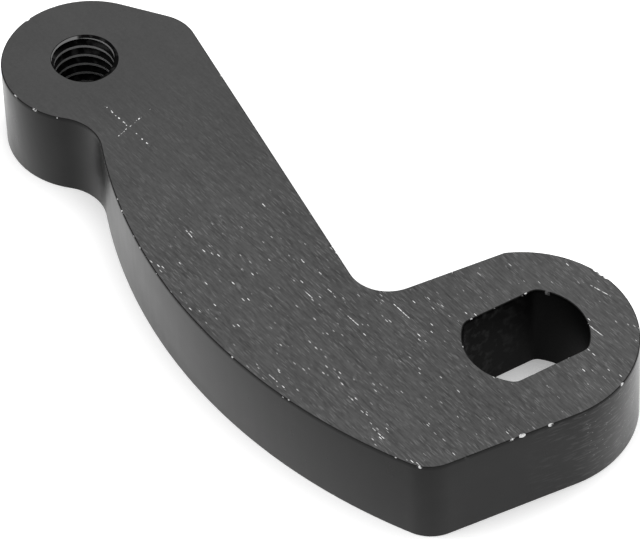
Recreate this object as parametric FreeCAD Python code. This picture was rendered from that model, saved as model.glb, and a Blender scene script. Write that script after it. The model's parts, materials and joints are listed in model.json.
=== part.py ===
import FreeCAD, Part
import math
import os

# A drum brake lever: one flat L-shaped lever cut from plate steel.
# The shaft hole, with two flats, is in the hub end. The brake rod or clevis screws into the tapped rod end.
# The origin is on the shaft hole's axis, at the bottom face. +X runs along the long straight edge
# towards the rod end, +Y from the hub towards the curved back, and +Z up through the plate.
# Lengths are in millimetres and angles in degrees.

PLATE_THICKNESS = 12.7
EDGE_BREAK = 0.15

# The two holes, and how far the line between them leans from the long edge.
HOLE_CENTRES = 76.2
ROD_ARM_ANGLE = 23.05

# Shaft hole: a round hole with two flats that face each other, and corners as round as a 1/8 in cutter.
SHAFT_HOLE_DIAMETER = 15.88
SHAFT_FLAT_DISTANCE = 12.0
SHAFT_FLAT_ANGLE = 96.8
SHAFT_CORNER_RADIUS = 1.59

# Tapped hole: drilled for a 3/8-16 thread, with its mouths broken on both faces.
TAP_DRILL_DIAMETER = 7.94
TAP_MOUTH_BREAK = 0.38

# Hub end: a round end, one edge tangent to it and one edge cut a little inside it.
HUB_END_RADIUS = 14.76
HUB_END_SHIFT = 0.64
HUB_OUTER_LEAN = 1.4
HUB_INNER_CUT = 0.77
HUB_INNER_LEAN = 0.7

# Rod end: a round end whose centre lies a little nearer the hub than the tapped hole does.
ROD_END_RADIUS = 11.27
ROD_END_SHIFT = 0.6
NOSE_EDGE_ANGLE = 44.1

# Long straight edge, and the back's one large arc.
LONG_EDGE_HEIGHT = 15.05
BACK_RADIUS = 79.65
BACK_CROWN_X = 33.3
BACK_CROWN_HEIGHT = 36.97

# Corner radii.
ELBOW_RADIUS = 5.3
HEEL_RADIUS = 6.4
SHOULDER_RADIUS = 5.0
NECK_RADIUS = 6.5


def direction(angle):
    """Unit vector at an angle from +X in the plane of the plate."""
    turn = math.radians(angle)
    return FreeCAD.Vector(math.cos(turn), math.sin(turn), 0)


def crossing(normal_a, offset_a, normal_b, offset_b):
    """Point where the lines normal . p = offset cross."""
    scale = normal_a.x * normal_b.y - normal_a.y * normal_b.x
    x = (offset_a * normal_b.y - offset_b * normal_a.y) / scale
    y = (offset_b * normal_a.x - offset_a * normal_b.x) / scale
    return FreeCAD.Vector(x, y, 0)


def line_meets_circle(normal, offset, centre, radius, side):
    """Point on a line at a radius from a centre, left of the normal for side +1 or right of it for -1."""
    along = FreeCAD.Vector(-normal.y, normal.x, 0)
    gap = offset - normal.dot(centre)
    reach = math.sqrt(radius ** 2 - gap ** 2)
    return centre + normal * gap + along * (side * reach)


def circles_meet(centre_a, radius_a, centre_b, radius_b):
    """Point at one radius from each centre, to the left of the way from a to b."""
    span = centre_b - centre_a
    distance = span.Length
    along = (radius_a ** 2 - radius_b ** 2 + distance ** 2) / (2 * distance)
    across = math.sqrt(radius_a ** 2 - along ** 2)
    left = FreeCAD.Vector(-span.y, span.x, 0) / distance
    return centre_a + span * (along / distance) + left * across


def towards(start, goal, length):
    """Point at a length from start, on the way to goal."""
    way = goal - start
    return start + way * (length / way.Length)


def arc(centre, start, end, turn):
    """Arc round a centre from start to end. Turn +1 is anticlockwise, -1 clockwise."""
    first = math.atan2(start.y - centre.y, start.x - centre.x)
    last = math.atan2(end.y - centre.y, end.x - centre.x)
    sweep = (turn * (last - first)) % (2 * math.pi)
    middle = first + turn * sweep / 2
    radius = (start - centre).Length
    through = centre + FreeCAD.Vector(math.cos(middle), math.sin(middle), 0) * radius
    return Part.Arc(start, through, end).toShape()


# Where the hole axes and the ends' centres are.
shaft_axis = FreeCAD.Vector(0, 0, 0)
tapped_axis = shaft_axis + direction(ROD_ARM_ANGLE) * HOLE_CENTRES
hub_centre = shaft_axis + FreeCAD.Vector(0, HUB_END_SHIFT, 0)
rod_centre = tapped_axis - direction(ROD_ARM_ANGLE) * ROD_END_SHIFT
back_centre = FreeCAD.Vector(BACK_CROWN_X, BACK_CROWN_HEIGHT - BACK_RADIUS, 0)


def lever_outline():
    """Closed outline of the plate, anticlockwise from the hub's outer edge, as tangent lines and arcs."""
    # Each straight edge is a normal that points out of the plate, with its distance from the origin.
    outer_normal = direction(180 + HUB_OUTER_LEAN)
    outer_offset = outer_normal.dot(hub_centre) + HUB_END_RADIUS
    inner_normal = direction(HUB_INNER_LEAN)
    inner_offset = inner_normal.dot(hub_centre) + HUB_END_RADIUS - HUB_INNER_CUT
    long_normal = direction(-90)
    long_offset = -LONG_EDGE_HEIGHT
    nose_normal = direction(NOSE_EDGE_ANGLE - 90)
    nose_offset = nose_normal.dot(rod_centre) + ROD_END_RADIUS

    # Hub end: from the outer edge round to the inner edge.
    hub_start = hub_centre + outer_normal * HUB_END_RADIUS
    hub_end = line_meets_circle(inner_normal, inner_offset, hub_centre, HUB_END_RADIUS, -1)

    # Elbow: the inside corner between the hub's inner edge and the long edge.
    elbow_centre = crossing(inner_normal, inner_offset + ELBOW_RADIUS,
                            long_normal, long_offset + ELBOW_RADIUS)
    elbow_start = elbow_centre - inner_normal * ELBOW_RADIUS
    elbow_end = elbow_centre - long_normal * ELBOW_RADIUS

    # Heel: the rounded corner between the long edge and the nose edge.
    heel_centre = crossing(long_normal, long_offset - HEEL_RADIUS,
                           nose_normal, nose_offset - HEEL_RADIUS)
    heel_start = heel_centre + long_normal * HEEL_RADIUS
    heel_end = heel_centre + nose_normal * HEEL_RADIUS

    # Neck: the hollow where the rod end's round runs into the back.
    neck_centre = circles_meet(back_centre, BACK_RADIUS + NECK_RADIUS,
                               rod_centre, ROD_END_RADIUS + NECK_RADIUS)
    rod_start = rod_centre + nose_normal * ROD_END_RADIUS
    rod_end = towards(rod_centre, neck_centre, ROD_END_RADIUS)
    neck_end = towards(back_centre, neck_centre, BACK_RADIUS)

    # Shoulder: the rounded corner between the back and the hub's outer edge.
    shoulder_centre = line_meets_circle(outer_normal, outer_offset - SHOULDER_RADIUS, back_centre,
                                        BACK_RADIUS - SHOULDER_RADIUS, -1)
    shoulder_start = towards(back_centre, shoulder_centre, BACK_RADIUS)
    shoulder_end = shoulder_centre + outer_normal * SHOULDER_RADIUS

    return Part.Wire([
        arc(hub_centre, hub_start, hub_end, 1),
        Part.makeLine(hub_end, elbow_start),
        arc(elbow_centre, elbow_start, elbow_end, -1),
        Part.makeLine(elbow_end, heel_start),
        arc(heel_centre, heel_start, heel_end, 1),
        Part.makeLine(heel_end, rod_start),
        arc(rod_centre, rod_start, rod_end, 1),
        arc(neck_centre, rod_end, neck_end, -1),
        arc(back_centre, neck_end, shoulder_start, 1),
        arc(shoulder_centre, shoulder_start, shoulder_end, 1),
        Part.makeLine(shoulder_end, hub_start),
    ])


def outline_edges(plate):
    """The edges of the two flat faces, which are broken by deburring."""
    edges = []
    for edge in plate.Edges:
        heights = [vertex.Z for vertex in edge.Vertexes]
        if max(heights) - min(heights) < PLATE_THICKNESS / 2:
            edges.append(edge)
    return edges


def upright_edges(solid):
    """The edges of a solid that run from one face of the plate to the other."""
    edges = []
    for edge in solid.Edges:
        heights = [vertex.Z for vertex in edge.Vertexes]
        if max(heights) - min(heights) > PLATE_THICKNESS / 2:
            edges.append(edge)
    return edges


def shaft_hole_tool():
    """What is cut away for the shaft: a round bar between two flats, with rounded corners."""
    bar = Part.makeCylinder(SHAFT_HOLE_DIAMETER / 2, PLATE_THICKNESS)
    slab = Part.makeBox(SHAFT_HOLE_DIAMETER, SHAFT_FLAT_DISTANCE, PLATE_THICKNESS)
    slab.translate(FreeCAD.Vector(-SHAFT_HOLE_DIAMETER / 2, -SHAFT_FLAT_DISTANCE / 2, 0))
    slab.rotate(shaft_axis, FreeCAD.Vector(0, 0, 1), SHAFT_FLAT_ANGLE)
    tool = bar.common(slab)
    tool = tool.makeFillet(SHAFT_CORNER_RADIUS, upright_edges(tool))
    return tool.translated(shaft_axis)


def tapped_hole_tool():
    """What is cut away for the thread: the tap drill's bore, with its two mouths broken."""
    drill_radius = TAP_DRILL_DIAMETER / 2
    mouth_radius = drill_radius + TAP_MOUTH_BREAK
    bore = Part.makeCylinder(drill_radius, PLATE_THICKNESS, tapped_axis)
    lower = Part.makeCone(mouth_radius, drill_radius, TAP_MOUTH_BREAK, tapped_axis)
    upper_start = tapped_axis + FreeCAD.Vector(0, 0, PLATE_THICKNESS - TAP_MOUTH_BREAK)
    upper = Part.makeCone(drill_radius, mouth_radius, TAP_MOUTH_BREAK, upper_start)
    return bore.fuse([lower, upper])


def lever():
    """The whole lever: the plate's outline, its broken edges and its two holes."""
    plate = Part.Face(lever_outline()).extrude(FreeCAD.Vector(0, 0, PLATE_THICKNESS))
    plate = plate.makeChamfer(EDGE_BREAK, outline_edges(plate))
    plate = plate.cut([shaft_hole_tool(), tapped_hole_tool()])
    return plate.removeSplitter()


os.makedirs("parts", exist_ok=True)
lever().exportStep("parts/lever.step")
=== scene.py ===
import json
import math

import bpy
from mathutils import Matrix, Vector, geometry


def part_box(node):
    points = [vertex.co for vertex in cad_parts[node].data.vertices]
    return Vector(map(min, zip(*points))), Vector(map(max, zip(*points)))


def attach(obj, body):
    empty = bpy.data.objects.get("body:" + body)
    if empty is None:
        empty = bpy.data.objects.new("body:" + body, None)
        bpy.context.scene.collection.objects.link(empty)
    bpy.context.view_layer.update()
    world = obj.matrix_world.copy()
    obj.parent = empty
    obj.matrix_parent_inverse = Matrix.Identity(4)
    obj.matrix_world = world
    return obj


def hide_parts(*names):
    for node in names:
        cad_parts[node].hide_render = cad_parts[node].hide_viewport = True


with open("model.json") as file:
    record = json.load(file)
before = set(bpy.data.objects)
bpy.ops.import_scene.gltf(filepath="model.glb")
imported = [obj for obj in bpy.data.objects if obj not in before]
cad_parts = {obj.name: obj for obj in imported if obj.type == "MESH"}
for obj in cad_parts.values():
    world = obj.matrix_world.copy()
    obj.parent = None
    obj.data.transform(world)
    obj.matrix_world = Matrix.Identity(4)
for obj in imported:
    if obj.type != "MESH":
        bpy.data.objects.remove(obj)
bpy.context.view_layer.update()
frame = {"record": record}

# The lever's blank is one L-shaped piece of steel plate, cut to its outline.
# Its outline is straight edges and arcs that run into each other, and its two faces are ground flat.
MM = 0.001
low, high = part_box("lever")
thickness = high[2] - low[2]
mounts = {mount["name"]: mount for mount in frame["record"]["mounts"]}
shaft_axis = Vector(mounts["shaft_hole"]["pos_m"][:2])
tapped_axis = Vector(mounts["tapped_hole"]["pos_m"][:2])

hub_radius = 14.76 * MM
hub_shift = 0.64 * MM
hub_inner_cut = 0.77 * MM
hub_outer_lean = 1.4
hub_inner_lean = 0.7
rod_radius = 11.27 * MM
rod_shift = 0.6 * MM
nose_angle = 44.1
long_edge_height = 15.05 * MM
back_radius = 79.65 * MM
back_crown = Vector((33.3, 36.97)) * MM
elbow_radius = 5.3 * MM
heel_radius = 6.4 * MM
shoulder_radius = 5.0 * MM
neck_radius = 6.5 * MM
outline_step = 0.6 * MM
fewest_steps = 6
edge_break = 0.15 * MM
break_segments = 2
tolerance = 0.01 * MM


def heading(angle):
    """Unit direction at an angle in degrees from +X, in the plane of the plate."""
    return Vector((math.cos(math.radians(angle)), math.sin(math.radians(angle))))


def corner_centre(normal_a, reach_a, normal_b, reach_b):
    """Point that lies reach_a along one normal and reach_b along the other."""
    along_a = Vector((-normal_a.y, normal_a.x))
    along_b = Vector((-normal_b.y, normal_b.x))
    start_a = normal_a * reach_a
    start_b = normal_b * reach_b
    meeting = geometry.intersect_line_line(start_a.to_3d(), (start_a + along_a).to_3d(),
                                           start_b.to_3d(), (start_b + along_b).to_3d())
    return meeting[0].to_2d()


def on_circle(normal, reach, centre, radius):
    """The two points of a circle that lie reach along a normal, the lower one first."""
    start = normal * reach
    along = Vector((-normal.y, normal.x))
    points = geometry.intersect_line_sphere_2d(start - along, start + along, centre, radius, False)
    return sorted(points, key=lambda point: point.y)


def pick(piece, kind, test):
    """Leaves selected, in edit mode, only the edges or faces whose points all pass the test."""
    bpy.ops.object.mode_set(mode="EDIT")
    bpy.ops.mesh.select_mode(type=kind)
    bpy.ops.mesh.select_all(action="DESELECT")
    bpy.ops.object.mode_set(mode="OBJECT")
    mesh = piece.data
    passed = [test(point.co) for point in mesh.vertices]
    for part in (mesh.edges if kind == "EDGE" else mesh.polygons):
        part.select = all(passed[index] for index in part.vertices)
    bpy.ops.object.mode_set(mode="EDIT")


def start_line(name, start):
    """A new object, in edit mode, whose mesh is one selected point."""
    bpy.ops.object.select_all(action="DESELECT")
    bpy.ops.mesh.primitive_plane_add(size=MM)
    piece = bpy.context.object
    piece.name = name
    bpy.ops.object.mode_set(mode="EDIT")
    bpy.ops.mesh.select_mode(type="VERT")
    bpy.ops.mesh.merge(type="CENTER")
    bpy.ops.transform.translate(value=start)
    return piece


def run(start, end):
    """Draws a straight edge from the selected point, in short steps."""
    steps = max(1, round((end - start).length / outline_step))
    step = (end - start) / steps
    for _ in range(steps):
        bpy.ops.mesh.extrude_region_move(TRANSFORM_OT_translate={"value": step.to_3d()})


def bend(centre, start, end, turn):
    """Draws an arc round a centre from the selected point. Turn 1 is anticlockwise, -1 clockwise."""
    first = start - centre
    last = end - centre
    angle = (turn * (math.atan2(last.y, last.x) - math.atan2(first.y, first.x))) % (2 * math.pi)
    steps = max(fewest_steps, round(angle * first.length / outline_step))
    bpy.ops.mesh.spin(steps=steps, angle=-turn * angle, center=centre.to_3d(), axis=(0, 0, 1))


hub_centre = shaft_axis + Vector((0, hub_shift))
rod_centre = tapped_axis - (tapped_axis - shaft_axis).normalized() * rod_shift
back_centre = back_crown - Vector((0, back_radius))

outer_side = heading(180 + hub_outer_lean)
inner_side = heading(hub_inner_lean)
long_side = heading(-90)
nose_side = heading(nose_angle - 90)
outer_reach = outer_side.dot(hub_centre) + hub_radius
inner_reach = inner_side.dot(hub_centre) + hub_radius - hub_inner_cut
long_reach = -long_edge_height
nose_reach = nose_side.dot(rod_centre) + rod_radius

elbow_centre = corner_centre(inner_side, inner_reach + elbow_radius, long_side, long_reach + elbow_radius)
heel_centre = corner_centre(long_side, long_reach - heel_radius, nose_side, nose_reach - heel_radius)
neck_centre = max(geometry.intersect_sphere_sphere_2d(rod_centre, rod_radius + neck_radius,
                                                      back_centre, back_radius + neck_radius),
                  key=lambda point: point.y)
shoulder_centre = on_circle(outer_side, outer_reach - shoulder_radius,
                            back_centre, back_radius - shoulder_radius)[1]

hub_start = hub_centre + outer_side * hub_radius
hub_end = on_circle(inner_side, inner_reach, hub_centre, hub_radius)[0]
elbow_start = elbow_centre - inner_side * elbow_radius
elbow_end = elbow_centre - long_side * elbow_radius
heel_start = heel_centre + long_side * heel_radius
heel_end = heel_centre + nose_side * heel_radius
rod_start = rod_centre + nose_side * rod_radius
rod_end = rod_centre + (neck_centre - rod_centre).normalized() * rod_radius
back_start = back_centre + (neck_centre - back_centre).normalized() * back_radius
back_end = back_centre + (shoulder_centre - back_centre).normalized() * back_radius
shoulder_end = shoulder_centre + outer_side * shoulder_radius

lever = start_line("lever_body", hub_start.to_3d())
bend(hub_centre, hub_start, hub_end, 1)
run(hub_end, elbow_start)
bend(elbow_centre, elbow_start, elbow_end, -1)
run(elbow_end, heel_start)
bend(heel_centre, heel_start, heel_end, 1)
run(heel_end, rod_start)
bend(rod_centre, rod_start, rod_end, 1)
bend(neck_centre, rod_end, back_start, -1)
bend(back_centre, back_start, back_end, 1)
bend(shoulder_centre, back_end, shoulder_end, 1)
run(shoulder_end, hub_start)
bpy.ops.mesh.select_all(action="SELECT")
bpy.ops.mesh.remove_doubles(threshold=tolerance)
bpy.ops.mesh.edge_face_add()
bpy.ops.mesh.extrude_region_move(TRANSFORM_OT_translate={"value": (0, 0, thickness)})
bpy.ops.mesh.select_all(action="SELECT")
bpy.ops.mesh.normals_make_consistent(inside=False)

# The plate's sharp outline is broken on both faces, as a deburring wheel leaves it.
pick(lever, "EDGE", lambda point: point.z < 0.5 * edge_break)
bpy.ops.mesh.bevel(offset=edge_break, segments=break_segments, affect="EDGES")
pick(lever, "EDGE", lambda point: point.z > thickness - 0.5 * edge_break)
bpy.ops.mesh.bevel(offset=edge_break, segments=break_segments, affect="EDGES")
bpy.ops.object.mode_set(mode="OBJECT")

# The shaft hole goes through the hub: a bore with two flats that keep the lever from turning on its shaft.
# It is milled with a 1/8 in cutter, which leaves its four corners round, and it has a thin broken rim.
shaft_hole_radius = 7.94 * MM
flat_reach = 6.0 * MM
flat_angle = 96.8
cutter_radius = 1.59 * MM
rim_break = 0.12 * MM
rim_margin = 0.05 * MM
tool_overrun = 2 * MM
flat_way = heading(flat_angle)
cross_way = heading(flat_angle + 90)
corner_across = flat_reach - cutter_radius
corner_along = math.sqrt((shaft_hole_radius - cutter_radius) ** 2 - corner_across ** 2)


def in_hole(along, across):
    """Point of the shaft hole, by its distances along the flats and across them."""
    return shaft_axis + flat_way * along + cross_way * across


first_point = in_hole(corner_along, flat_reach).to_3d()
shaft_tool = start_line("shaft_tool", first_point - Vector((0, 0, tool_overrun)))
for side in (1, -1):
    corner_a = in_hole(-side * corner_along, side * corner_across)
    corner_b = in_hole(-side * corner_along, -side * corner_across)
    flat_end = in_hole(-side * corner_along, side * flat_reach)
    next_flat = in_hole(-side * corner_along, -side * flat_reach)
    bore_start = shaft_axis + (corner_a - shaft_axis).normalized() * shaft_hole_radius
    bore_end = shaft_axis + (corner_b - shaft_axis).normalized() * shaft_hole_radius
    run(in_hole(side * corner_along, side * flat_reach), flat_end)
    bend(corner_a, flat_end, bore_start, 1)
    bend(shaft_axis, bore_start, bore_end, 1)
    bend(corner_b, bore_end, next_flat, 1)
bpy.ops.mesh.select_all(action="SELECT")
bpy.ops.mesh.remove_doubles(threshold=tolerance)
bpy.ops.mesh.edge_face_add()
bpy.ops.mesh.extrude_region_move(TRANSFORM_OT_translate={"value": (0, 0, thickness + 2 * tool_overrun)})
bpy.ops.mesh.select_all(action="SELECT")
bpy.ops.mesh.normals_make_consistent(inside=False)
bpy.ops.object.mode_set(mode="OBJECT")


def cut(piece, tool, operation="DIFFERENCE"):
    """Cuts a tool's shape out of a piece, or joins it on with UNION, and takes the tool away."""
    bpy.ops.object.select_all(action="DESELECT")
    bpy.context.view_layer.objects.active = piece
    piece.select_set(True)
    boolean = piece.modifiers.new("cut", "BOOLEAN")
    boolean.operation = operation
    boolean.solver = "EXACT"
    boolean.object = tool
    bpy.ops.object.modifier_apply(modifier=boolean.name)
    bpy.data.objects.remove(tool)


cut(lever, shaft_tool)


def on_shaft_rim(point, face_height):
    """True on the shaft hole's rim at one face."""
    on_face = abs(point.z - face_height) < tolerance
    return on_face and (point.xy - shaft_axis).length < shaft_hole_radius + rim_margin


for face_height in (0, thickness):
    pick(lever, "EDGE", lambda point: on_shaft_rim(point, face_height))
    bpy.ops.mesh.bevel(offset=rim_break, segments=break_segments, affect="EDGES")
bpy.ops.object.mode_set(mode="OBJECT")

# Knocks have chipped small bites out of the top edge, each turned another way. Each is written as its
# place on the edge, the way it faces in degrees and its depth, with lengths in millimetres. A line round
# the plate first splits the wall just under the top edge, so that the wall below stays smooth.
chip_radius = 0.5 * MM
chip_reach = 0.6 * MM
chip_rise = 0.3 * chip_radius
pick(lever, "FACE", lambda point: True)
bpy.ops.mesh.bisect(plane_co=(0, 0, thickness - chip_reach), plane_no=(0, 0, 1))
bpy.ops.object.mode_set(mode="OBJECT")
edge_chips = ((63.94, 39.37, 120, 0.25), (67.16, 40.61, 102, 0.15), (37.3, 36.9, 87, 0.15),
              (-13.9, 21.2, 160, 0.2), (-15.2, 15.5, 181, 0.2), (-15.1, 9.1, 181, 0.25),
              (-14.7, 7.7, 181, 0.2), (-14.7, 3.9, 190, 0.15), (-12.6, -7.0, 211, 0.2),
              (80.07, 33.67, 21, 0.3), (6.2, -12.75, 295, 0.3), (5.4, -13.1, 292, 0.42),
              (4.6, -13.4, 288, 0.36))
chip_places = []
for x, y, facing, depth in edge_chips:
    bpy.ops.object.select_all(action="DESELECT")
    spot = Vector((x, y)) * MM + heading(facing) * (chip_radius - depth * MM)
    chip_place = Vector((spot.x, spot.y, thickness + chip_rise))
    chip_places.append(chip_place)
    bpy.ops.mesh.primitive_ico_sphere_add(subdivisions=2, radius=chip_radius, location=chip_place,
                                          rotation=(math.radians(x), math.radians(y), 0))
    chip = bpy.context.object
    bpy.ops.object.transform_apply(location=True, rotation=True, scale=True)
    cut(lever, chip)

# One small burr was left standing on the shaft hole's wall, just under the top face. It is the plate's
# own steel, so it is joined to the wall.
burr_radius = 0.25 * MM
burr_place = Vector((5.6, -5.65, 12.43)) * MM
bpy.ops.object.select_all(action="DESELECT")
bpy.ops.mesh.primitive_ico_sphere_add(subdivisions=2, radius=burr_radius, location=burr_place)
burr = bpy.context.object
bpy.ops.object.transform_apply(location=True, rotation=True, scale=True)
cut(lever, burr, "UNION")

# The tapped hole takes the brake rod's screw. Its right-hand thread runs right through the plate.
# It is cut with a tap: one turn's profile, wound up the hole's axis and trimmed clear of both faces.
# The tap is turned so that the crests come at the heights where they show on the hole's far wall.
thread_pitch = 1.5875 * MM
crest_radius = mounts["tapped_hole"]["dims"]["r_mm"] * MM
root_radius = 4.76 * MM
root_width = thread_pitch / 8
flank_angle = 30
flank_rise = (root_radius - crest_radius) * math.tan(math.radians(flank_angle))
crest_width = thread_pitch - root_width - 2 * flank_rise
thread_start = 203.5
thread_lead = 1.5 * thread_pitch
spare_turns = 2
turn_steps = 96
thread_weld_gap = 0.001 * MM
mouth_break = 0.375 * MM
mouth_overrun = 0.2 * MM

for face_height, facing in ((0, -1), (thickness, 1)):
    bpy.ops.object.select_all(action="DESELECT")
    mouth_height = face_height - facing * mouth_break / 2
    bpy.ops.mesh.primitive_cone_add(vertices=turn_steps, radius1=crest_radius - mouth_overrun,
                                    radius2=crest_radius + mouth_break + mouth_overrun,
                                    depth=mouth_break + 2 * mouth_overrun,
                                    rotation=(0 if facing > 0 else math.pi, 0, 0),
                                    location=(tapped_axis.x, tapped_axis.y, mouth_height))
    mouth_tool = bpy.context.object
    bpy.ops.object.transform_apply(location=True, rotation=True, scale=True)
    cut(lever, mouth_tool)

turns = math.ceil((thickness + 2 * tool_overrun) / thread_pitch) + spare_turns
tap = start_line("tap", (crest_radius, 0, -tool_overrun - thread_lead))
for outwards, upwards in ((0, crest_width), (root_radius - crest_radius, flank_rise), (0, root_width),
                          (crest_radius - root_radius, flank_rise)):
    bpy.ops.mesh.extrude_region_move(TRANSFORM_OT_translate={"value": (outwards, 0, upwards)})
bpy.ops.object.mode_set(mode="OBJECT")
winding = tap.modifiers.new("winding", "SCREW")
winding.axis = "Z"
winding.angle = 2 * math.pi
winding.screw_offset = thread_pitch
winding.iterations = turns
winding.steps = turn_steps
winding.render_steps = turn_steps
winding.use_merge_vertices = True
winding.merge_threshold = thread_weld_gap
bpy.ops.object.modifier_apply(modifier=winding.name)
bpy.ops.object.mode_set(mode="EDIT")
bpy.ops.mesh.select_all(action="SELECT")
bpy.ops.mesh.remove_doubles(threshold=thread_weld_gap)
for height, facing in ((-tool_overrun, -1), (thickness + tool_overrun, 1)):
    bpy.ops.mesh.select_all(action="SELECT")
    bpy.ops.mesh.bisect(plane_co=(0, 0, height), plane_no=(0, 0, facing), use_fill=True, clear_outer=True)
bpy.ops.mesh.select_all(action="SELECT")
bpy.ops.mesh.normals_make_consistent(inside=False)
bpy.ops.transform.rotate(value=math.radians(thread_start), orient_axis="Z", center_override=(0, 0, 0))
bpy.ops.transform.translate(value=tapped_axis.to_3d())
bpy.ops.object.mode_set(mode="OBJECT")
cut(lever, tap)

bpy.ops.object.mode_set(mode="EDIT")
bpy.ops.mesh.select_all(action="SELECT")
bpy.ops.mesh.remove_doubles(threshold=2 * thread_weld_gap)
bpy.ops.object.mode_set(mode="OBJECT")


def is_ground(face):
    """True on the lever's two flat faces."""
    return min(face.center.z, thickness - face.center.z) < tolerance


smooth_angle = 25
bpy.ops.object.shade_smooth_by_angle(angle=math.radians(smooth_angle))
for face in lever.data.polygons:
    face.use_smooth = not is_ground(face)
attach(lever, "root")
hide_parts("lever")

# The flat faces are ground, so fine lines run one way over them, and then blackened.
# The hub's half is painted lighter, most at the hub's end and at the back of the arm, as a painted sheen,
# and handling has left short bright scratches there, along the grinding.
# Places in the finishes are in millimetres.
grinding_angle = 12.5
face_black = 0.05
bare_steel = 1.0
face_roughness = 0.5
face_relief = 0.004 * MM
# Wear marks and a painted sheen both grow along the arm between these two places, in millimetres along X.
no_wear_or_sheen_from = 66
full_wear_and_sheen_from = 30
dashes_from = 38
scratch_width = 0.06
crossed_width = 1.6 * scratch_width


class Wire:
    """One output of a shader node. Python's signs between wires and numbers add Math nodes."""

    def __init__(self, socket):
        self.socket = socket

    def node(self, kind, settings, values, output=0):
        """Adds a node of a kind, with its settings first, then numbers, colours or wires on its sockets."""
        tree = self.socket.id_data
        made = tree.nodes.new(kind)
        for name, setting in settings.items():
            setattr(made, name, setting)
        for key, value in values.items():
            if isinstance(value, Wire):
                tree.links.new(value.socket, made.inputs[key])
            else:
                made.inputs[key].default_value = value
        return Wire(made.outputs[output])

    def maths(self, operation, other):
        """A Math node on this value and another."""
        return self.node("ShaderNodeMath", {"operation": operation}, {0: self, 1: other})

    def __add__(self, other):
        return self.maths("ADD", other)

    def __sub__(self, other):
        return self.maths("SUBTRACT", other)

    def __rsub__(self, other):
        return self.node("ShaderNodeMath", {"operation": "SUBTRACT"}, {0: other, 1: self})

    def __mul__(self, other):
        return self.maths("MULTIPLY", other)

    def __truediv__(self, other):
        return self.maths("DIVIDE", other)

    __radd__ = __add__
    __rmul__ = __mul__

    def between(self, start, end):
        """0 at start and before, 1 at end and past it, and an even slope from one to the other."""
        return self.node("ShaderNodeMapRange", {}, {"Value": self, "From Min": start, "From Max": end})

    def over(self, limit):
        """1 where the value is over the limit, and 0 elsewhere."""
        return self.maths("GREATER_THAN", limit)

    def or_more(self, other):
        """The larger of two values."""
        return self.maths("MAXIMUM", other)

    def or_less(self, other):
        """The smaller of two values."""
        return self.maths("MINIMUM", other)

    def vector(self, operation, other):
        """Vector maths on two vectors."""
        return self.node("ShaderNodeVectorMath", {"operation": operation}, {0: self, 1: other})

    def dot(self, direction):
        """How far a vector reaches along a direction."""
        return self.node("ShaderNodeVectorMath", {"operation": "DOT_PRODUCT"},
                         {0: self, 1: direction}, "Value")

    def scaled(self, factor):
        """A vector made longer or shorter by a factor."""
        return self.node("ShaderNodeVectorMath", {"operation": "SCALE"}, {0: self, "Scale": factor})

    def length(self):
        """The length of a vector."""
        return self.node("ShaderNodeVectorMath", {"operation": "LENGTH"}, {0: self}, "Value")

    def part(self, name):
        """X, Y or Z of a vector."""
        return self.node("ShaderNodeSeparateXYZ", {}, {0: self}, name)

    def noise(self, scale, detail=2.0):
        """Soft noise about 0.5, with so many waves in each millimetre."""
        return self.node("ShaderNodeTexNoise", {}, {"Vector": self, "Scale": scale, "Detail": detail})

    def along_lines(self, angle, stretch):
        """The place turned so that X runs at an angle, then squeezed or stretched each way."""
        turned = self.node("ShaderNodeVectorRotate", {"rotation_type": "Z_AXIS"},
                           {"Vector": self, "Angle": math.radians(-angle)})
        return turned.vector("MULTIPLY", stretch)

    def flecks(self, size):
        """Scattered marks of a size, 1 in the mark and 0 outside it, one in each cell of an uneven grid."""
        from_middle = self.node("ShaderNodeTexVoronoi", {}, {"Vector": self, "Scale": 1.0}, "Distance")
        return from_middle.between(size, 0.75 * size)

    def scratch(self, start, end, width):
        """A thin straight mark on a flat face from one point to another."""
        way = Vector(end) - Vector(start)
        way_along = way.normalized().to_3d()
        from_start = self.vector("MULTIPLY", (1, 1, 0)).vector("SUBTRACT", (*start, 0))
        reach = from_start.dot(way_along).or_more(0.0).or_less(way.length)
        nearest = reach.node("ShaderNodeVectorMath", {"operation": "SCALE"}, {0: way_along, "Scale": reach})
        return from_start.vector("SUBTRACT", nearest).length().between(width, 0.6 * width)

    def as_grey(self):
        """The value as a grey colour, from 0, black, to 1, white."""
        # A Mix node has its colours on these sockets, because several of its sockets share a name.
        colour_a, colour_b, mixed_colour = 6, 7, 2
        return self.node("ShaderNodeMix", {"data_type": "RGBA"},
                         {"Factor": self, colour_a: (0, 0, 0, 1), colour_b: (1, 1, 1, 1)}, mixed_colour)


def new_paint(name):
    """A material with its shader, and the place on the piece in millimetres."""
    material = bpy.data.materials.new(name)
    material.use_nodes = True
    shader = material.node_tree.nodes["Principled BSDF"]
    object_place = Wire(material.node_tree.nodes.new("ShaderNodeTexCoord").outputs["Object"])
    return material, shader, object_place.scaled(1 / MM)


def feed(wire, shader, socket):
    """Joins a wire to a socket of the shader."""
    wire.socket.id_data.links.new(wire.socket, shader.inputs[socket])


def bump(height, shader, distance):
    """Lets a height from 0 to 1 catch the light, as relief of so many metres."""
    relief = height.node("ShaderNodeBump", {}, {"Height": height, "Distance": distance})
    feed(relief, shader, "Normal")


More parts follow.
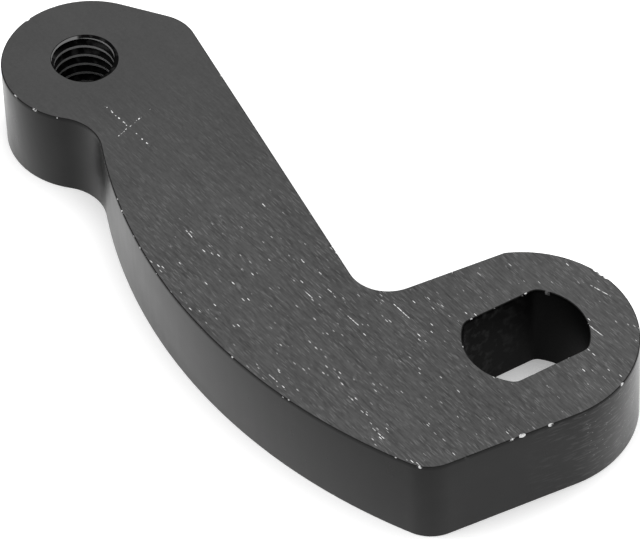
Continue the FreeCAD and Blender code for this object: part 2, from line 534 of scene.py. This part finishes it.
face_paint, face_shader, place = new_paint("blackened_ground_face")
# Towards the hub, wear marks grow stronger and a painted sheen grows lighter.
wear_and_sheen = place.part("X").between(no_wear_or_sheen_from, full_wear_and_sheen_from)
lines = place.along_lines(grinding_angle, (0.12, 2.4, 1)).noise(1.0, 3.0)
grain = place.along_lines(grinding_angle, (0.7, 4.6, 1)).noise(1.0, 3.0)
light_hairs = place.along_lines(grinding_angle, (0.6, 4.8, 0)).flecks(0.36)
dark_hairs = place.along_lines(grinding_angle, (0.45, 3.9, 0)).flecks(0.34)
hairs = (1.2 * light_hairs - 0.35 * dark_hairs) * wear_and_sheen * place.noise(0.5).between(0.36, 0.56)
mottle = place.noise(3.2, 3.0)
cloud = place.noise(0.09)
# Painted sheen: the top is painted lighter towards the hub's end and towards the back of the arm.
hub_end_painted_sheen = 0.2 * place.part("Y").between(8, -8)
back_painted_sheen = 0.14 * place.part("Y").between(15, 24) * place.part("X").between(60, 40)
# Besides the grinding lines, grain, mottle and scratch hairs, the shade holds a painted sheen: 0.05 over
# the hub's half, and the two painted sheen patches.
shade = (1 + (lines - 0.5) * (0.2 + wear_and_sheen) + (grain - 0.5) * (0.2 + 1.8 * wear_and_sheen) + 0.5 * (mottle - 0.5)
         + 0.35 * (cloud - 0.5) + hub_end_painted_sheen + back_painted_sheen + 0.05 * wear_and_sheen + hairs)
dashes = place.along_lines(grinding_angle, (0.4, 2.3, 0)).flecks(0.135)
clusters = place.noise(0.45, 3.0).between(0.42, 0.56) * (1 - place.part("X").over(dashes_from))
bare = dashes * clusters * place.noise(1.3).between(0.3, 0.6)

# The scratches that stand out most on the top face: short ones along the grinding, and two beaded ones
# that cross by the rod end.
clear_scratches = (((12.7, 18.4), (10.7, 17.9)), ((18.0, 18.7), (16.9, 18.4)), ((35.3, 19.9), (34.2, 19.7)),
                   ((35.3, 30.5), (33.7, 30.3)), ((7.9, 31.3), (6.4, 30.9)), ((-5.8, 23.6), (-8.3, 23.0)),
                   ((18.8, 21.4), (17.5, 21.1)), ((12.0, 12.4), (9.0, 11.7)), ((4.2, -11.0), (1.4, -12.4)),
                   ((-1.6, -7.7), (-4.3, -8.5)))
crossed_scratches = (((54.7, 31.6), (57.5, 25.6)), ((61.2, 31.0), (51.2, 28.6)))
on_top = place.part("Z").over(thickness / MM / 2)
skips = place.noise(2.2).between(0.4, 0.6)
beading = place.vector("MULTIPLY", (2.4, 2.4, 0)).flecks(0.42)
for start, end in clear_scratches:
    bare = bare.or_more(place.scratch(start, end, scratch_width) * on_top * skips)
for start, end in crossed_scratches:
    bare = bare.or_more(place.scratch(start, end, crossed_width) * on_top * beading)
face_colour = (bare * bare_steel).as_grey().vector("ADD", (shade * face_black).as_grey())
feed(face_colour, face_shader, "Base Color")
feed(face_roughness + 0.2 * (mottle - 0.5) + 0.2 * (grain - 0.5) - 0.15 * bare, face_shader, "Roughness")
bump(0.4 * lines + 0.6 * grain - 0.6 * bare, face_shader, face_relief)

# The outline is cut square through the plate. Its walls are smoother and glossier than the faces,
# with faint upright tool marks, and light rubs and streaks round the hub's end, where the streaks' lighter
# colour is a painted reflection.
wall_black = 0.001
wall_roughness = 0.29
wall_relief = 0.005 * MM
rubbed_over = 0.727
wall_paint, wall_shader, place = new_paint("blackened_cut_wall")
upright = place.vector("MULTIPLY", (1, 1, 0.06)).noise(0.9)
patches = place.noise(0.35, 3.0)
hub_end = place.part("Y").between(8, -4) * place.part("X").between(20, 5)
rubs = place.vector("MULTIPLY", (0.9, 0.9, 3.0)).flecks(0.13) * hub_end.over(rubbed_over)
# Streaks round the hub's end: their relief is real, and their lighter colour is a painted reflection.
streaks_and_sheen = place.vector("MULTIPLY", (0.7, 0.7, 4.0)).noise(0.8, 3.0).between(0.52, 0.7) * hub_end
# The streaks' share of this colour is a painted reflection.
wall_colour = wall_black + 0.006 * patches + (0.12 + 0.1 * hub_end) * rubs + 0.05 * streaks_and_sheen
feed(wall_colour.as_grey(), wall_shader, "Base Color")
feed(wall_roughness + 0.05 * (upright - 0.5) + 0.05 * (patches - 0.5), wall_shader, "Roughness")
bump(0.1 * upright + 0.1 * place.noise(2.5) + streaks_and_sheen, wall_shader, wall_relief)
wall_shader.inputs["IOR"].default_value = 1.22

# Inside both holes the black is deep and dull. The thread's crests are lighter, partly as burnished steel
# and partly as a painted highlight, and the land where the thread runs out at the top face is painted
# lighter on one side, a painted highlight.
bore_black = 0.0005
bore_roughness = 0.5
bore_relief = 0.012 * MM
crest_height = 12.62
# The side of the tapped hole whose land gets the painted highlight, in degrees.
land_heading = 30
bore_paint, bore_shader, place = new_paint("blackened_bore")
from_tap = place.vector("SUBTRACT", (tapped_axis / MM).to_3d()).vector("MULTIPLY", (1, 1, 0))
off_tap = from_tap.length()
height = place.part("Z")
turned = from_tap.part("Y").maths("ARCTAN2", from_tap.part("X")) / (2 * math.pi)
from_crest = ((height - crest_height) / (thread_pitch / MM) - turned).maths("PINGPONG", 0.5)
# Partly painted highlight: the crests are painted lighter, as burnished steel that also catches the light.
crest = off_tap.between(crest_radius / MM + 0.07, crest_radius / MM + 0.02) * from_crest.between(0.14, 0.1)
land_way = from_tap.dot(heading(land_heading).to_3d()) / off_tap
depth = thickness / MM - height
# Painted highlight: the land is painted lighter only on the side of the hole that faces the light.
land_highlight = land_way.between(0.72, 0.78) * depth.between(0.85, 0.7) * depth.between(0.04, 0.1)
by_tap = off_tap.between(9, 8)
stain = place.noise(0.9, 4.0).between(0.5, 0.68) * place.part("Y").between(-4, 4)
# The lightness of the crests and the land is partly a painted highlight.
bore_colour = bore_black + by_tap * (0.22 * crest).or_more(0.2 * land_highlight) + 0.02 * stain
feed(bore_colour.as_grey(), bore_shader, "Base Color")
feed(bore_roughness - 0.15 * stain, bore_shader, "Roughness")
bump(place.noise(1.8, 4.0), bore_shader, bore_relief)
bore_shader.inputs["IOR"].default_value = 1.13

# The broken edges were blackened with the rest. They show as a thin dark line with bright beads, where
# knocks have taken the black off.
edge_black = 0.004
edge_roughness = 0.6
edge_paint, edge_shader, place = new_paint("worn_edge")
beads = place.flecks(0.2) * place.noise(1.5).between(0.45, 0.55)
feed((edge_black + 0.75 * beads).as_grey(), edge_shader, "Base Color")
feed(edge_roughness - 0.2 * beads, edge_shader, "Roughness")
edge_shader.inputs["Specular IOR Level"].default_value = 0.2

# The chips were knocked out after the blackening, so they show bare steel, bright where it is fresh and
# dark where dirt has stayed in it.
chip_black = 0.01
chip_roughness = 0.5
chip_paint, chip_shader, place = new_paint("chipped_steel")
fresh = place.noise(1.9).between(0.42, 0.54)
feed((chip_black + 0.8 * fresh).as_grey(), chip_shader, "Base Color")
feed(chip_roughness - 0.2 * fresh, chip_shader, "Roughness")

# Each surface takes its finish by where it lies: the two ground faces and the burr, the cut wall, the
# bores of both holes, the broken edges and the chips.
lever.data.materials.clear()
paints = (face_paint, wall_paint, bore_paint, edge_paint, chip_paint)
face_slot, wall_slot, bore_slot, edge_slot, chip_slot = range(len(paints))
for paint in paints:
    lever.data.materials.append(paint)
hole_margin = 0.5 * MM
edge_band = 1.5 * edge_break
burr_reach = 1.05 * burr_radius
bite_reach = 1.02 * chip_radius
for face in lever.data.polygons:
    from_face = min(face.center.z, thickness - face.center.z)
    in_shaft_hole = (face.center.xy - shaft_axis).length < shaft_hole_radius + hole_margin
    in_tapped_hole = (face.center.xy - tapped_axis).length < root_radius + hole_margin
    on_burr = (face.center - burr_place).length < burr_reach
    chipped = any((face.center - chip_place).length < bite_reach for chip_place in chip_places)
    if is_ground(face) or on_burr:
        face.material_index = face_slot
    elif chipped:
        face.material_index = chip_slot
    elif in_tapped_hole or (in_shaft_hole and from_face > rim_break):
        face.material_index = bore_slot
    elif from_face < edge_band:
        face.material_index = edge_slot
    else:
        face.material_index = wall_slot

# The lever lies on a wide white sweep, which glows just enough to look white to the camera and in the
# lever's gloss. The glow fades close under the lever, so the sweep keeps the lever's shadow.
floor_size = 4.0
floor_white = 0.85
floor_roughness = 0.9
camera_glow = 0.75
mirror_glow = 1.0
shadow_reach = 8.0 * MM
shadow_samples = 8
bpy.ops.object.select_all(action="DESELECT")
bpy.ops.mesh.primitive_plane_add(size=floor_size, location=(0, 0, 0))
floor = bpy.context.object
floor.name = "floor"
floor_paint, floor_shader, place = new_paint("white_sweep")
floor_shader.inputs["Base Color"].default_value = (floor_white, floor_white, floor_white, 1)
floor_shader.inputs["Roughness"].default_value = floor_roughness
floor_shader.inputs["Specular IOR Level"].default_value = 0.0
ray = floor_paint.node_tree.nodes.new("ShaderNodeLightPath")
openness = place.node("ShaderNodeAmbientOcclusion", {"samples": shadow_samples},
                      {"Distance": shadow_reach}, "AO")
glow = Wire(ray.outputs["Is Camera Ray"]) * camera_glow + Wire(ray.outputs["Is Glossy Ray"]) * mirror_glow
floor_shader.inputs["Emission Color"].default_value = (1, 1, 1, 1)
feed(glow * openness, floor_shader, "Emission Strength")
floor.data.materials.append(floor_paint)

# Soft studio light: three large lamps, to the lever's left, to its right and by the camera, in a plain
# white surround.
lamp_distance = 0.9
lamp_size = 0.5
surround_strength = 0.5
for name, azimuth, elevation, energy in (("left_lamp", 75, 40, 2.0), ("right_lamp", -65, 40, 2.8),
                                         ("front_lamp", 160, 35, 2.0)):
    flat = heading(azimuth) * math.cos(math.radians(elevation))
    spot = Vector((flat.x, flat.y, math.sin(math.radians(elevation)))) * lamp_distance
    bpy.ops.object.light_add(type="AREA", location=spot, rotation=spot.to_track_quat("Z", "Y").to_euler())
    lamp = bpy.context.object
    lamp.name = name
    lamp.data.size = lamp_size
    lamp.data.energy = energy
world = bpy.data.worlds.new("white_surround")
world.use_nodes = True
world.node_tree.nodes["Background"].inputs["Color"].default_value = (1, 1, 1, 1)
world.node_tree.nodes["Background"].inputs["Strength"].default_value = surround_strength
bpy.context.scene.world = world

# The camera looks down on the lever from the hub's outer side, through a long lens. Its place is in
# metres and its turn in degrees.
camera_place = (-0.430196, 0.208795, 0.518963)
camera_turn = (44.0584, 1.6493, -114.5821)
camera_lens = 316.17
film_width = 36
nearest_seen = 0.01
farthest_seen = 10
bpy.ops.object.camera_add(location=camera_place, rotation=[math.radians(angle) for angle in camera_turn])
camera = bpy.context.object
camera.data.lens = camera_lens
camera.data.sensor_width = film_width
camera.data.clip_start = nearest_seen
camera.data.clip_end = farthest_seen
bpy.context.scene.camera = camera
bpy.context.scene.view_settings.view_transform = "Standard"
